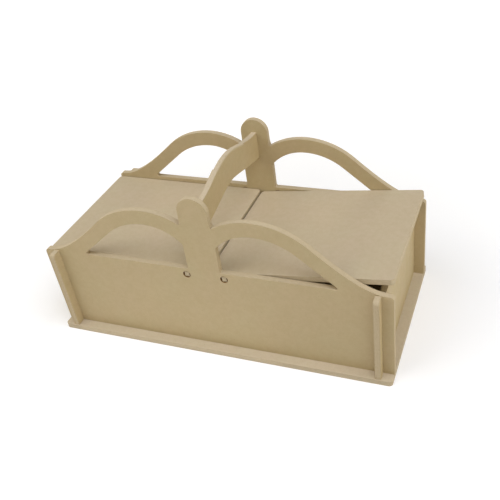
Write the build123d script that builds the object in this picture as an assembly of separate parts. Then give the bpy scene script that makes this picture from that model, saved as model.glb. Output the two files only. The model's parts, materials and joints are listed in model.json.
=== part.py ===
from build123d import *
from math import acos, cos, degrees, hypot, radians, sin, tan
import os

# A carrying basket with two hinged lids, cut from flat fiberboard and glued together.
# Millimetres. X runs along the basket, the front is towards -Y, Z points up.
# The origin is the middle of the base's underside.

# Overall sizes
base_length = 380.0
base_width = 190.0
total_height = 190.0  # from the table to the top of the posts and of the handle

# Boards
base_thickness = 6.0
panel_thickness = 6.0  # long sides and ends
handle_thickness = 6.0
lid_thickness = 6.0

# Box
base_margin = 11.0  # how far the base sticks out past each long side
rail_height = 105.5  # from the table to the long sides' straight top edge
base_corner_radius = 4.0
rail_corner_radius = 4.0

# Post and its round head, in the middle of each long side
post_width = 34.8  # beside the openings
neck_width = 33.6  # where the arches leave the post
head_width = 31.0
neck_top_height = 166.0  # from here up the head's edges are upright

# Arch on each side of the post
arch_peak_reach = 57.0  # from the basket's middle to the arch's highest point
arch_peak_height = 170.2
arch_band = 16.0  # board left between the arch's top and its opening
arch_radius = 83.0
arch_root_radius = 75.0  # from the peak down to the post
flank_angle = 41.5  # slope, in degrees, where the round arch turns into its flank
flank_pull = 40.6  # how far the flank keeps that slope
shoulder_inset = 6.0  # from a long side's end back to where the flank has run out
shoulder_pull = 18.0  # how early the flank levels out

# Opening under each arch
opening_root_radius = 51.0
opening_flank_angle = 39.7  # slope, in degrees, of its straight flank
opening_corner_radius = 1.5  # the two corners at the rail

# Ends, halved into the long sides
end_inset = 11.5  # from a long side's end to the end's outer face
ear_reach = 10.0  # how far an end sticks out past the long sides
ear_corner_radius = 4.0
slot_clearance = 0.1

# Handle
handle_end_height = 174.8  # top edge, where the handle meets the posts
top_crown_pull = 26.8  # level stretch of the top edge at the middle
top_end_slope = 2.8  # degrees, at the posts
top_end_pull = 37.2  # how far the top edge keeps that slope
handle_middle_depth = 30.6
handle_end_depth = 30.8
under_crown_pull = 16.0  # the same three for the under edge
under_end_slope = 9.0
under_end_pull = 41.0

# Grip: the handle's two top corners are rounded over between two stops
grip_radius = 2.5
grip_front = 24.0  # from the basket's middle to the front stop
grip_back = 43.0  # and to the back stop

# Lids
lid_drop = 4.5  # from the long sides' top edge down to a closed lid's top
lid_middle_gap = 2.0  # between the two lids
lid_side_gap = 0.75  # between a lid and each long side
lid_rest_gap = 0.3  # between a closed lid and the end under it
lid_corner_radius = 4.0
lid_ajar_angle = 6.7  # degrees that the right lid stands open

# Lid pivots: a square-cut tab at each side of a lid turns in a round hole
pivot_offset = 20.5  # from the basket's middle
tab_width = 5.0
tab_clearance = 0.08  # between the tab's corners and the hole
tab_recess = 0.8  # from the long side's outer face back to the tab's end

half_length = base_length / 2
outer_y = base_width / 2 - base_margin
inner_y = outer_y - panel_thickness
lid_top = rail_height - lid_drop
lid_underside = lid_top - lid_thickness
pivot_height = lid_top - lid_thickness / 2
pivot_hole_radius = hypot(tab_width, lid_thickness) / 2 + tab_clearance
end_middle_x = half_length - end_inset - panel_thickness / 2
lap_height = (base_thickness + rail_height) / 2  # where the halved boards meet
slot_width = panel_thickness + 2 * slot_clearance


def arc_from_top(centre_x, top, radius, turn):
    """An arc from its highest point, turning right by so many degrees, or left if negative."""
    return CenterArc((centre_x, top - radius), radius, 90, -turn)


def angle_at(reach, radius):
    """Degrees from an arc's top at which the arc stands this far to the side."""
    return 90 - degrees(acos(reach / radius))


def long_side_outline():
    """The right half of a long side's edge, from the middle of its foot to its top."""
    end_x = half_length
    corner = rail_corner_radius
    crown = arc_from_top(arch_peak_reach, arch_peak_height, arch_radius, flank_angle)
    root_turn = angle_at(arch_peak_reach - neck_width / 2, arch_root_radius)
    root = arc_from_top(arch_peak_reach, arch_peak_height, arch_root_radius, -root_turn)
    flank_top = crown @ 1
    flank_way = Vector(cos(radians(flank_angle)), -sin(radians(flank_angle)))
    shoulder = Vector(end_x - shoulder_inset, rail_height)
    flank = Bezier(
        flank_top,
        flank_top + flank_way * flank_pull,
        shoulder - Vector(shoulder_pull, 0),
        shoulder,
    )
    head_radius = head_width / 2
    head_middle = (0, total_height - head_radius)
    neck_top = (head_radius, neck_top_height)
    return [
        Line((0, base_thickness), (end_x, base_thickness)),
        Line((end_x, base_thickness), (end_x, rail_height - corner)),
        CenterArc((end_x - corner, rail_height - corner), corner, 0, 90),
        Line((end_x - corner, rail_height), shoulder),
        flank,
        crown,
        root,
        TangentArc(neck_top, root @ 1, tangent=(0, -1)),
        Line(neck_top, (head_radius, head_middle[1])),
        CenterArc(head_middle, head_radius, 0, 90),
    ]


def arch_opening():
    """The opening under the right-hand arch, standing on the level of the rail."""
    peak = arch_peak_height - arch_band
    post_x = post_width / 2
    turn = opening_flank_angle
    crown = arc_from_top(arch_peak_reach, peak, arch_radius - arch_band, turn)
    root_turn = angle_at(arch_peak_reach - post_x, opening_root_radius)
    root = arc_from_top(arch_peak_reach, peak, opening_root_radius, -root_turn)
    flank_top = crown @ 1
    corner_x = flank_top.X + (flank_top.Y - rail_height) / tan(radians(turn))
    edges = [
        crown,
        Line(flank_top, (corner_x, rail_height)),
        Line((corner_x, rail_height), (post_x, rail_height)),
        Line((post_x, rail_height), root @ 1),
        root,
    ]
    opening = make_face(edges)
    corners = opening.vertices().group_by(Axis.Y)[0]
    return fillet(corners, opening_corner_radius)


def pair(shape):
    """A shape and its mirror image across the basket's middle."""
    return shape + mirror(shape, about=Plane.YZ)


def front_side():
    """Front long side: post with a round head, two pierced arches, two pivot holes."""
    half = long_side_outline()
    outline = make_face(half + [mirror(edge, about=Plane.YZ) for edge in half])
    pivot_hole = Pos(pivot_offset, pivot_height) * Circle(pivot_hole_radius)
    slot_top = lap_height + slot_clearance
    slot_middle = Pos(end_middle_x, slot_top / 2)
    slot = slot_middle * Rectangle(slot_width, slot_top)
    face = outline - pair(arch_opening()) - pair(pivot_hole) - pair(slot)
    return extrude(Plane.XZ.offset(inner_y) * face, amount=panel_thickness)


def right_end():
    """Right end: slots for the long sides, and a lower middle for the lid to lie on."""
    half_width = outer_y + ear_reach
    height = rail_height - base_thickness
    board = Pos(0, base_thickness + height / 2) * Rectangle(2 * half_width, height)
    ear_corners = board.vertices().group_by(Axis.Y)[-1]
    board = fillet(ear_corners, ear_corner_radius)
    seat = lid_underside - lid_rest_gap
    pocket = Pos(0, (seat + rail_height) / 2) * Rectangle(2 * inner_y, rail_height - seat)
    slot_floor = lap_height - slot_clearance
    slot_height = rail_height - slot_floor
    slot = Rectangle(slot_width, slot_height)
    slot_y = (inner_y + outer_y) / 2
    for side in (-slot_y, slot_y):
        board -= Pos(side, slot_floor + slot_height / 2) * slot
    board -= pocket
    inner_face = end_middle_x - panel_thickness / 2
    return extrude(Plane.YZ.offset(inner_face) * board, amount=panel_thickness)


def handle_edge(middle_height, crown_pull, end_height, end_slope, end_pull):
    """One long edge of the handle, from its middle to the back post."""
    slope = radians(end_slope)
    end = Vector(inner_y, end_height)
    end_way = Vector(-cos(slope), sin(slope))
    return Bezier(
        (0, middle_height),
        (crown_pull, middle_height),
        end + end_way * end_pull,
        end,
    )


def handle_outline():
    """The handle's arched face, as wide as the gap between the two posts."""
    middle_height = total_height - handle_middle_depth
    end_height = handle_end_height - handle_end_depth
    top = handle_edge(total_height, top_crown_pull, handle_end_height, top_end_slope, top_end_pull)
    under = handle_edge(middle_height, under_crown_pull, end_height, under_end_slope, under_end_pull)
    half = [top, Line(top @ 1, under @ 1), under]
    return make_face(half + [mirror(edge, about=Plane.YZ) for edge in half])


def handle_board(outline):
    """A board of the handle's thickness with this outline, its corners still sharp."""
    return extrude(Plane.YZ.offset(-handle_thickness / 2) * outline, amount=handle_thickness)


def handle():
    """Handle whose two top corners are rounded over where the hand holds it."""
    outline = handle_outline()
    grip_middle = Pos((grip_back - grip_front) / 2, total_height / 2)
    between_stops = grip_middle * Rectangle(grip_front + grip_back, total_height)
    ends = handle_board(outline - between_stops)
    grip = handle_board(outline & between_stops)
    top_face = grip.faces().sort_by(Axis.Z)[-1]
    corners = top_face.edges().filter_by(Axis.X, reverse=True)
    return ends + fillet(corners, grip_radius)


def closed_right_lid():
    """Right lid lying closed, with a tab at each side that reaches into its pivot hole."""
    half_width = inner_y - lid_side_gap
    inner_end = lid_middle_gap / 2
    length = half_length - inner_end
    board = Pos(inner_end + length / 2, 0) * Rectangle(length, 2 * half_width)
    board = fillet(board.vertices(), lid_corner_radius)
    tab_end = outer_y - tab_recess
    board += Pos(pivot_offset, 0) * Rectangle(tab_width, 2 * tab_end)
    return extrude(Plane.XY.offset(lid_underside) * board, amount=lid_thickness)


def base_plate():
    """Base board with rounded corners."""
    board = RectangleRounded(base_length, base_width, base_corner_radius)
    return extrude(board, amount=base_thickness)


front = front_side()
end = right_end()
lid = closed_right_lid()
right_pivot = Axis((pivot_offset, 0, pivot_height), (0, -1, 0))

parts = {
    "base_plate": base_plate(),
    "front_panel": front,
    "back_panel": mirror(front, about=Plane.XZ),
    "left_end_panel": mirror(end, about=Plane.YZ),
    "right_end_panel": end,
    "handle": handle(),
    "left_lid": mirror(lid, about=Plane.YZ),
    "right_lid": lid.rotate(right_pivot, lid_ajar_angle),
}

os.makedirs("parts", exist_ok=True)
for name, shape in parts.items():
    export_step(shape, f"parts/{name}.step")
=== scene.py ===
import json
from math import radians, tau

import bpy
from mathutils import Matrix, Quaternion, Vector

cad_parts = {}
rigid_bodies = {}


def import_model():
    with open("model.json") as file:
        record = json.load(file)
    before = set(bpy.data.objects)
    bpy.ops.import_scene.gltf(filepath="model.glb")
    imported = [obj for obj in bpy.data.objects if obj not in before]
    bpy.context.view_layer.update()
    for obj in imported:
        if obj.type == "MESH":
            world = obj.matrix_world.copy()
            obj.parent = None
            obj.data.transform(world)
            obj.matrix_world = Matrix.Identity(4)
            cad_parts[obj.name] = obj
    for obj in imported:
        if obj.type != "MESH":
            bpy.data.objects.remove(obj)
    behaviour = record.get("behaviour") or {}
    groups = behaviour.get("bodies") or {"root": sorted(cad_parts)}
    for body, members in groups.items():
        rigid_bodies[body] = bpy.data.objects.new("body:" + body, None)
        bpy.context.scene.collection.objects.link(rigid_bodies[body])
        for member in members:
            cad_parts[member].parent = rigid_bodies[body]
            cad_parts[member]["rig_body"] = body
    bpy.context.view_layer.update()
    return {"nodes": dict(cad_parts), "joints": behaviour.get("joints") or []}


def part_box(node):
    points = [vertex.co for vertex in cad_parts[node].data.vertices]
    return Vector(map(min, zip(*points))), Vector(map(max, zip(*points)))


# A fiberboard carrying basket on a pale floor, in metres.
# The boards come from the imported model; this script gives them their finish, light and camera.

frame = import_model()

MILLIMETRE = 0.001
WHITE = (1.0, 1.0, 1.0)

# Camera, at the photograph's viewing angle
PICTURE_SIDE = 500  # pixels
FOCAL_PIXELS = 688.5
AXIS_PIXEL = (280.0, 250.5)  # where the lens axis meets the picture
CAMERA_PLACE = Vector((0.2903, -0.5494, 0.5188))
CAMERA_TARGET = Vector((0.0475, 0.0, 0.0761))
CAMERA_ROLL = -7.43  # degrees, negative tips the camera's right side down
SENSOR_WIDTH = 36.0  # millimetres
NEAREST_SEEN = 0.01
FARTHEST_SEEN = 50.0

# Soft boxes: place, side in metres, power in watts, colour
AIM = Vector((0.0, 0.0, 0.08))  # the point of the basket that they face
COOL = (0.92, 1.0, 1.23)
NEUTRAL = (1.02, 1.0, 0.94)
WARM = (1.05, 1.0, 0.78)
SOFT_BOXES = {
    "top_right": ((0.695, -0.401, 1.802), 1.1, 16.8, COOL),
    "top_left": ((-0.695, -0.401, 1.802), 1.1, 4.6, COOL),
    "top_front": ((0.0, -0.803, 1.802), 1.1, 5.2, COOL),
    "front_left": ((-1.029, -1.029, 1.301), 1.1, 8.3, NEUTRAL),
    "front_right": ((1.029, -1.029, 1.301), 1.1, 3.7, WARM),
    "low_left": ((-1.835, 0.0, 0.572), 0.8, 7.4, WARM),
    "low_right": ((1.835, 0.0, 0.572), 0.8, 6.9, WARM),
    "low_back": ((0.0, 1.835, 0.572), 0.8, 4.5, WARM),
}

# Small soft boxes that lie on the floor beside the basket and face up
UP = Vector((0.0, 0.0, 1.0))
FLOOR_BOXES = {
    "floor_front": ((-0.05, -0.20, 0.002), 0.24, 0.046, WHITE),
    "floor_right": ((0.40, 0.0, 0.002), 0.27, 0.118, WHITE),
}

# Even light from all round, as a room's pale walls give it
ROOM_LIGHT = 0.1  # strength
ROOM_COLOUR = (1.17, 1.0, 0.68)

# Floor, a round disc
FLOOR_RADIUS = 8.0
FLOOR_SIDES = 96
FLOOR_COLOUR = (0.83, 0.81, 0.77)
FLOOR_GLOW_NEAR = 0.21  # strength of the white that the camera sees on it, beside the basket
FLOOR_GLOW_FAR = 1.0  # and far off, where the lamps no longer reach
FLOOR_GLOW_REACH = (0.2, 1.0)  # metres from the basket's middle, from near to far

# Boards: the axis across the thickness, and the sheet tint that it takes
BOARDS = {
    "base_plate": ("Z", "palest"),
    "front_panel": ("Y", "warm"),
    "back_panel": ("Y", "warm"),
    "left_end_panel": ("X", "warm"),
    "right_end_panel": ("X", "warm"),
    "handle": ("X", "warm_pale_cut"),
    "left_lid": ("Z", "pale"),
    "right_lid": ("Z", "pale"),
}
LONG_SIDES = ("front_panel", "back_panel")
LIDS = ("left_lid", "right_lid")

# Sheets: tint of the pressed faces, then of the cut edges, partly each board's own tone and
# partly painted light
SHEETS = {
    "warm": ((1.0, 0.99, 0.95), (1.01, 0.99, 0.97)),
    # Partly a painted highlight: the handle's cut edges are paler, for the light on its top edge
    "warm_pale_cut": ((1.0, 0.99, 0.95), (1.07, 1.065, 1.11)),
    # Partly painted light from above: the lids, which face up, are paler and bluer
    "pale": ((0.975, 0.985, 1.09), (1.02, 1.02, 1.04)),
    # Partly painted light: the base plate, which faces up, is the palest and bluest, as if lit
    # more at its front
    "palest": ((1.05, 1.09, 1.27), (1.06, 1.07, 1.12)),
}

# Tones, as red, green and blue from 0 to 255
FACE_COLOUR = (186, 167, 129)
FACE_PINK = (187, 166, 129)
FACE_GREEN = (184, 168, 128)
FACE_DARK = (178, 158, 119)
CUT_COLOUR = (187, 170, 137)
SKIN_COLOUR = (168, 148, 110)
FLECK_COLOUR = (150, 127, 88)
PALE_FLECK_COLOUR = (206, 190, 155)
# Painted highlight: the pale tone laid on the corners of the boards
CORNER_HIGHLIGHT_COLOUR = (204, 188, 154)
# Painted shade: the dark tone laid in the pivot holes
PIVOT_SHADE_COLOUR = (134, 101, 56)

# Noises: width of a cloud in millimetres, detail, roughness, distortion
FACE_NOISES = {
    "cloud": (45.0, 3.0, 0.5, 0.0),
    "patch": (20.0, 2.0, 0.6, 0.0),
    "mottle": (6.0, 3.0, 0.75, 0.0),
    "fibre": (0.9, 5.0, 0.7, 1.2),
    "hair": (2.6, 4.0, 0.65, 2.5),
}
LAYER_NOISE = (0.5, 3.0, 0.6, 0.0)  # the fine layers of a cut edge
BOARD_SHIFT = (0.73, 0.41, 0.59)  # metres in the noises from one board to the next

# Tones of a pressed face, each laid over those before it: the noise that brings it in, the
# tone, the two values of the noise between which it comes in, and its share at each of them
FACE_TONES = (
    ("cloud", FACE_PINK, (0.35, 0.65), (0.2, 0.8)),
    ("patch", FACE_COLOUR, (0.3, 0.7), (0.0, 0.6)),
    ("mottle", FACE_DARK, (0.35, 0.65), (0.0, 0.45)),
    ("fibre", FLECK_COLOUR, (0.52, 0.80), (0.0, 0.38)),
    ("hair", PALE_FLECK_COLOUR, (0.56, 0.85), (0.0, 0.35)),
)

# Flecks, scattered over a pressed face
FLECK_SPACING = 5.5 * MILLIMETRE
FLECK_REACH = (0.085, 0.05)  # in spacings from its middle, to where it starts and is full
FLECK_SHARE = 0.45

# Cut edges, by how deep in the board: 0 is the middle of its thickness, 1 is a pressed face
CUT_DEPTH = (0.99, 0.955)  # from a pressed face to a cut edge
SKIN_DEPTH = (0.70, 0.97)  # from the pale core to the dark skins
SKIN_SHARE = 0.55
LAYER_STRETCH = 0.16  # scale of the layers along the board, against that across it
LAYER_VALUES = (0.45, 0.75)  # of the noise, between which the darker layers come in
LAYER_SHARES = (0.0, 0.35)

# Corners: the normals are rounded, once for the light and once to find where a pale painted
# highlight goes
BEVEL_SAMPLES = 6
LIT_RADIUS = 0.45 * MILLIMETRE
HIGHLIGHT_RADIUS = 0.8 * MILLIMETRE
HIGHLIGHT_TURN = (0.995, 0.90)  # cosine of the normal's turn, from none to full painted highlight
HIGHLIGHT_VALUES = (0.35, 0.6)  # of the hair noise, between which the painted highlight grows
HIGHLIGHT_SHARES = (0.15, 0.45)

# Relief and gloss
FIBRE_RELIEF = 0.5  # of the fibres, and of the hairs
LAYER_RELIEF = 1.2  # of the layers of a cut edge
RELIEF_DEPTH = 0.08 * MILLIMETRE
RELIEF_STRENGTH = 0.35
FACE_ROUGHNESS = (0.60, 0.70)
ROUGH_VALUES = (0.3, 0.7)  # of the patch noise, at which a face has these two roughnesses
CUT_ROUGHNESS = 0.14  # how much rougher a cut edge is

# Pivots: a lid's tab turns in a round hole of each long side, and painted shade makes the hole's
# wall and the tab's sides dark
PIVOT_HOLE_RADIUS = 3.985 * MILLIMETRE
HOLE_SHADE_START = 0.05 * MILLIMETRE  # outside the hole's wall, where the painted shade starts to fade
HOLE_SHADE_END = 0.3 * MILLIMETRE
TAB_START = 78.0 * MILLIMETRE  # from the basket's middle to where a tab enters its hole
TAB_END = 83.2 * MILLIMETRE
TAB_SHADE_FADE = 0.1 * MILLIMETRE


def paint(tone, tint=WHITE):
    """A tone from 0 to 255 as the shader takes it, on a sheet of this tint."""
    def linear(value):
        """The sRGB curve."""
        share = value / 255
        return share / 12.92 if share <= 0.04045 else ((share + 0.055) / 1.055) ** 2.4

    return (*(linear(value) * share for value, share in zip(tone, tint)), 1.0)


class Graph:
    """A short way to write shader nodes. An input is a value, or a socket to link it to."""

    def __init__(self, owner):
        owner.use_nodes = True
        self.tree = owner.node_tree
        self.tree.nodes.clear()

    def feed(self, socket, value):
        if isinstance(value, bpy.types.NodeSocket):
            self.tree.links.new(value, socket)
        else:
            socket.default_value = value

    def add(self, kind, inputs=(), **settings):
        node = self.tree.nodes.new(kind)
        for name, value in settings.items():
            setattr(node, name, value)
        for key, value in dict(inputs).items():
            self.feed(node.inputs[key], value)
        return node

    def math(self, operation, a, b=0.0):
        return self.add("ShaderNodeMath", {0: a, 1: b}, operation=operation).outputs[0]

    def sum(self, a, b):
        return self.math("ADD", a, b)

    def times(self, a, b):
        return self.math("MULTIPLY", a, b)

    def vector_math(self, operation, a, b=(0.0, 0.0, 0.0), result="Value"):
        node = self.add("ShaderNodeVectorMath", {0: a, 1: b}, operation=operation)
        return node.outputs[result]

    def split(self, vector):
        return self.add("ShaderNodeSeparateXYZ", {0: vector}).outputs

    def smooth(self, value, low, high, out_low=0.0, out_high=1.0):
        """A soft step from out_low, where the value is low, to out_high, where it is high."""
        inputs = {
            "Value": value,
            "From Min": low,
            "From Max": high,
            "To Min": out_low,
            "To Max": out_high,
        }
        return self.add("ShaderNodeMapRange", inputs, interpolation_type="SMOOTHSTEP").outputs[0]

    def noise(self, place, width, detail, roughness, distortion):
        """Cloudy noise, whose clouds are about this many millimetres wide."""
        inputs = {
            "Vector": place,
            "Scale": 1 / (width * MILLIMETRE),
            "Detail": detail,
            "Roughness": roughness,
            "Distortion": distortion,
        }
        return self.add("ShaderNodeTexNoise", inputs).outputs["Fac"]

    def mix(self, share, first, second):
        """The first colour, with this share of the second."""
        node = self.add("ShaderNodeMix", data_type="RGBA")
        sockets = {socket.identifier: socket for socket in node.inputs}
        self.feed(sockets["Factor_Float"], share)
        self.feed(sockets["A_Color"], first)
        self.feed(sockets["B_Color"], second)
        return next(s for s in node.outputs if s.identifier == "Result_Color")

    def rounded_normal(self, radius):
        return self.add("ShaderNodeBevel", {"Radius": radius}, samples=BEVEL_SAMPLES).outputs[0]


def laid_flat(g, node):
    """Places on a board at rest, with a lid that stands ajar turned back until it is shut."""
    turn, shift = Quaternion(), Vector()
    for joint in frame["joints"]:
        if frame["nodes"][node]["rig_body"] == joint["child"]:
            pivot = Vector(joint["pos_m"])
            turn = Quaternion(Vector(joint["axis"]), radians(joint["range_deg"][0]))
            shift = pivot - turn @ pivot
    place = g.add("ShaderNodeTexCoord").outputs["Object"]
    inputs = {"Vector": place, "Rotation": turn.to_euler(), "Location": shift}
    return g.add("ShaderNodeMapping", inputs).outputs[0]


def depth_in_board(g, node, axis, flat):
    """0 at the middle of a board's thickness, 1 at its pressed faces."""
    shut_twin = "left_lid" if node == "right_lid" else node
    low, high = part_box(shut_twin)
    middle = (low[axis] + high[axis]) / 2
    half_thickness = (high[axis] - low[axis]) / 2
    from_middle = g.math("ABSOLUTE", g.sum(g.split(flat)[axis], -middle))
    return g.times(from_middle, 1 / half_thickness)


def pressed_face(g, place, noise, tint):
    """Colour of a pressed face: a faint mottle, fine fibres, hairs and flecks."""
    colour = paint(FACE_GREEN, tint)
    for name, tone, values, shares in FACE_TONES:
        colour = g.mix(g.smooth(noise[name], *values, *shares), colour, paint(tone, tint))
    spots = g.add("ShaderNodeTexVoronoi", {"Vector": place, "Scale": 1 / FLECK_SPACING})
    fleck = g.smooth(spots.outputs["Distance"], *FLECK_REACH)
    return g.mix(g.times(fleck, FLECK_SHARE), colour, paint(FLECK_COLOUR, tint))


def cut_edge(g, layer, skin, face_tint, cut_tint):
    """Colour of a cut edge: a paler core in fine layers, between thin darker skins."""
    layers = g.smooth(layer, *LAYER_VALUES, *LAYER_SHARES)
    core = g.mix(layers, paint(CUT_COLOUR, cut_tint), paint(FLECK_COLOUR, face_tint))
    return g.mix(g.times(skin, SKIN_SHARE), core, paint(SKIN_COLOUR, cut_tint))


def painted_corner_highlight(g, hair):
    """Share of painted highlight on a corner, where the rounded normal turns away from the true
    one.
    """
    true_normal = g.add("ShaderNodeNewGeometry").outputs["Normal"]
    turn = g.vector_math("DOT_PRODUCT", g.rounded_normal(HIGHLIGHT_RADIUS), true_normal)
    return g.times(g.smooth(turn, *HIGHLIGHT_TURN), g.smooth(hair, *HIGHLIGHT_VALUES, *HIGHLIGHT_SHARES))


def painted_shade_at_pivots(g, node, flat):
    """1 on the walls of the pivot holes and on the sides of the tabs that turn in them, where
    dark shade is painted.
    """
    x, y, z = g.split(flat)
    if node in LIDS:
        reach = g.math("ABSOLUTE", y)
        in_hole = g.smooth(reach, TAB_START - TAB_SHADE_FADE, TAB_START)
        return g.times(in_hole, g.smooth(reach, TAB_END - TAB_SHADE_FADE, TAB_END, 1.0, 0.0))
    on_face = g.add("ShaderNodeCombineXYZ", {"X": x, "Y": z}).outputs[0]
    fade = (PIVOT_HOLE_RADIUS + HOLE_SHADE_START, PIVOT_HOLE_RADIUS + HOLE_SHADE_END)
    shaded = 0.0
    for joint in frame["joints"]:
        pivot_x, _, pivot_z = joint["pos_m"]
        away = g.vector_math("DISTANCE", on_face, (pivot_x, pivot_z, 0.0))
        shaded = g.sum(shaded, g.smooth(away, *fade, 1.0, 0.0))
    return shaded


def fiberboard(node, number):
    """Raw fiberboard, with its own place in the noises, so that no two boards are alike."""
    material = bpy.data.materials.new(f"fiberboard_{node}")
    g = Graph(material)
    axis_name, sheet = BOARDS[node]
    axis = "XYZ".index(axis_name)
    face_tint, cut_tint = SHEETS[sheet]

    flat = laid_flat(g, node)
    shift = [step * number for step in BOARD_SHIFT]
    place = g.vector_math("ADD", flat, shift, result="Vector")
    noise = {name: g.noise(place, *values) for name, values in FACE_NOISES.items()}
    scale = [LAYER_STRETCH] * 3
    scale[axis] = 1.0
    layered = g.add("ShaderNodeMapping", {"Vector": place, "Scale": scale}).outputs[0]
    layer = g.noise(layered, *LAYER_NOISE)

    depth = depth_in_board(g, node, axis, flat)
    cut = g.smooth(depth, *CUT_DEPTH)
    skin = g.times(g.smooth(depth, *SKIN_DEPTH), cut)

    colour = pressed_face(g, place, noise, face_tint)
    colour = g.mix(cut, colour, cut_edge(g, layer, skin, face_tint, cut_tint))
    # Painted highlight: a pale tone on the corners, broken up by the hair noise
    colour = g.mix(painted_corner_highlight(g, noise["hair"]), colour, paint(CORNER_HIGHLIGHT_COLOUR, cut_tint))
    # Painted shade, dark on the pivot holes' walls and the tabs' sides
    if node in LONG_SIDES + LIDS:
        colour = g.mix(painted_shade_at_pivots(g, node, flat), colour, paint(PIVOT_SHADE_COLOUR))

    height = g.sum(g.times(noise["fibre"], FIBRE_RELIEF), g.times(noise["hair"], FIBRE_RELIEF))
    height = g.sum(height, g.times(g.times(layer, cut), LAYER_RELIEF))
    relief = {
        "Strength": RELIEF_STRENGTH,
        "Distance": RELIEF_DEPTH,
        "Height": height,
        "Normal": g.rounded_normal(LIT_RADIUS),
    }
    face_roughness = g.smooth(noise["patch"], *ROUGH_VALUES, *FACE_ROUGHNESS)
    finish = {
        "Base Color": colour,
        "Roughness": g.sum(face_roughness, g.times(cut, CUT_ROUGHNESS)),
        "Normal": g.add("ShaderNodeBump", relief).outputs[0],
    }
    shader = g.add("ShaderNodeBsdfPrincipled", finish)
    g.add("ShaderNodeOutputMaterial", {"Surface": shader.outputs[0]})
    return material


def seen_directly(g):
    """1 for what the camera sees, straight or through gloss or glass."""
    path = g.add("ShaderNodeLightPath").outputs
    seen = g.math("MAXIMUM", path["Is Camera Ray"], path["Is Glossy Ray"])
    return g.math("MAXIMUM", seen, path["Is Transmission Ray"])


def floor_finish():
    """Matt and pale, with a white glow that only the camera sees and that grows far off."""
    material = bpy.data.materials.new("floor")
    g = Graph(material)
    matt = g.add("ShaderNodeBsdfDiffuse", {"Color": (*FLOOR_COLOUR, 1.0)})
    place = g.add("ShaderNodeTexCoord").outputs["Object"]
    away = g.vector_math("LENGTH", place)
    white = g.smooth(away, *FLOOR_GLOW_REACH, FLOOR_GLOW_NEAR, FLOOR_GLOW_FAR)
    glow = g.add("ShaderNodeEmission", {"Strength": g.times(seen_directly(g), white)})
    both = g.add("ShaderNodeAddShader", {0: matt.outputs[0], 1: glow.outputs[0]})
    g.add("ShaderNodeOutputMaterial", {"Surface": both.outputs[0]})
    return material


def add_floor():
    """Pale floor, which keeps the basket's shadow."""
    corners = [
        Matrix.Rotation(tau * step / FLOOR_SIDES, 3, "Z") @ Vector((FLOOR_RADIUS, 0, 0))
        for step in range(FLOOR_SIDES)
    ]
    mesh = bpy.data.meshes.new("floor")
    mesh.from_pydata(corners, [], [range(FLOOR_SIDES)])
    mesh.materials.append(floor_finish())
    disc = bpy.data.objects.new("floor", mesh)
    bpy.context.scene.collection.objects.link(disc)


def add_room():
    """Faint warm light from all round, with a white background for the camera."""
    world = bpy.data.worlds.new("room")
    bpy.context.scene.world = world
    g = Graph(world)
    light = [ROOM_LIGHT * share for share in ROOM_COLOUR]
    colour = g.mix(seen_directly(g), (*light, 1.0), (*WHITE, 1.0))
    background = g.add("ShaderNodeBackground", {"Color": colour, "Strength": 1.0})
    g.add("ShaderNodeOutputWorld", {"Surface": background.outputs[0]})


def put_up(name, data, place, way):
    """A lamp or camera at this place, facing this way."""
    made = bpy.data.objects.new(name, data)
    made.location = place
    made.rotation_mode = "QUATERNION"
    made.rotation_quaternion = way.to_track_quat("-Z", "Y")
    bpy.context.scene.collection.objects.link(made)
    return made


def add_lamp(name, place, side, power, colour, way):
    """A soft square light that the camera doesn't see."""
    light = bpy.data.lights.new(name, "AREA")
    light.shape = "SQUARE"
    light.size = side
    light.energy = power
    light.color = colour
    put_up(name, light, place, way).visible_camera = False


def add_camera():
    """The photograph's camera."""
    lens = bpy.data.cameras.new("camera")
    lens.sensor_width = SENSOR_WIDTH
    lens.lens = SENSOR_WIDTH * FOCAL_PIXELS / PICTURE_SIDE
    lens.shift_x = (PICTURE_SIDE / 2 - AXIS_PIXEL[0]) / PICTURE_SIDE
    lens.shift_y = (AXIS_PIXEL[1] - PICTURE_SIDE / 2) / PICTURE_SIDE
    lens.clip_start = NEAREST_SEEN
    lens.clip_end = FARTHEST_SEEN
    camera = put_up("camera", lens, CAMERA_PLACE, CAMERA_TARGET - CAMERA_PLACE)
    level = camera.rotation_quaternion.copy()
    camera.rotation_quaternion = level @ Quaternion((0, 0, 1), radians(CAMERA_ROLL))
    bpy.context.scene.camera = camera


for number, node in enumerate(BOARDS):
    finish = fiberboard(node, number)
    for slot in frame["nodes"][node].material_slots:
        slot.material = finish

add_floor()
add_room()
for name, values in SOFT_BOXES.items():
    add_lamp(name, *values, AIM - Vector(values[0]))
for name, values in FLOOR_BOXES.items():
    add_lamp(name, *values, UP)
add_camera()
bpy.context.scene.view_settings.view_transform = "Standard"
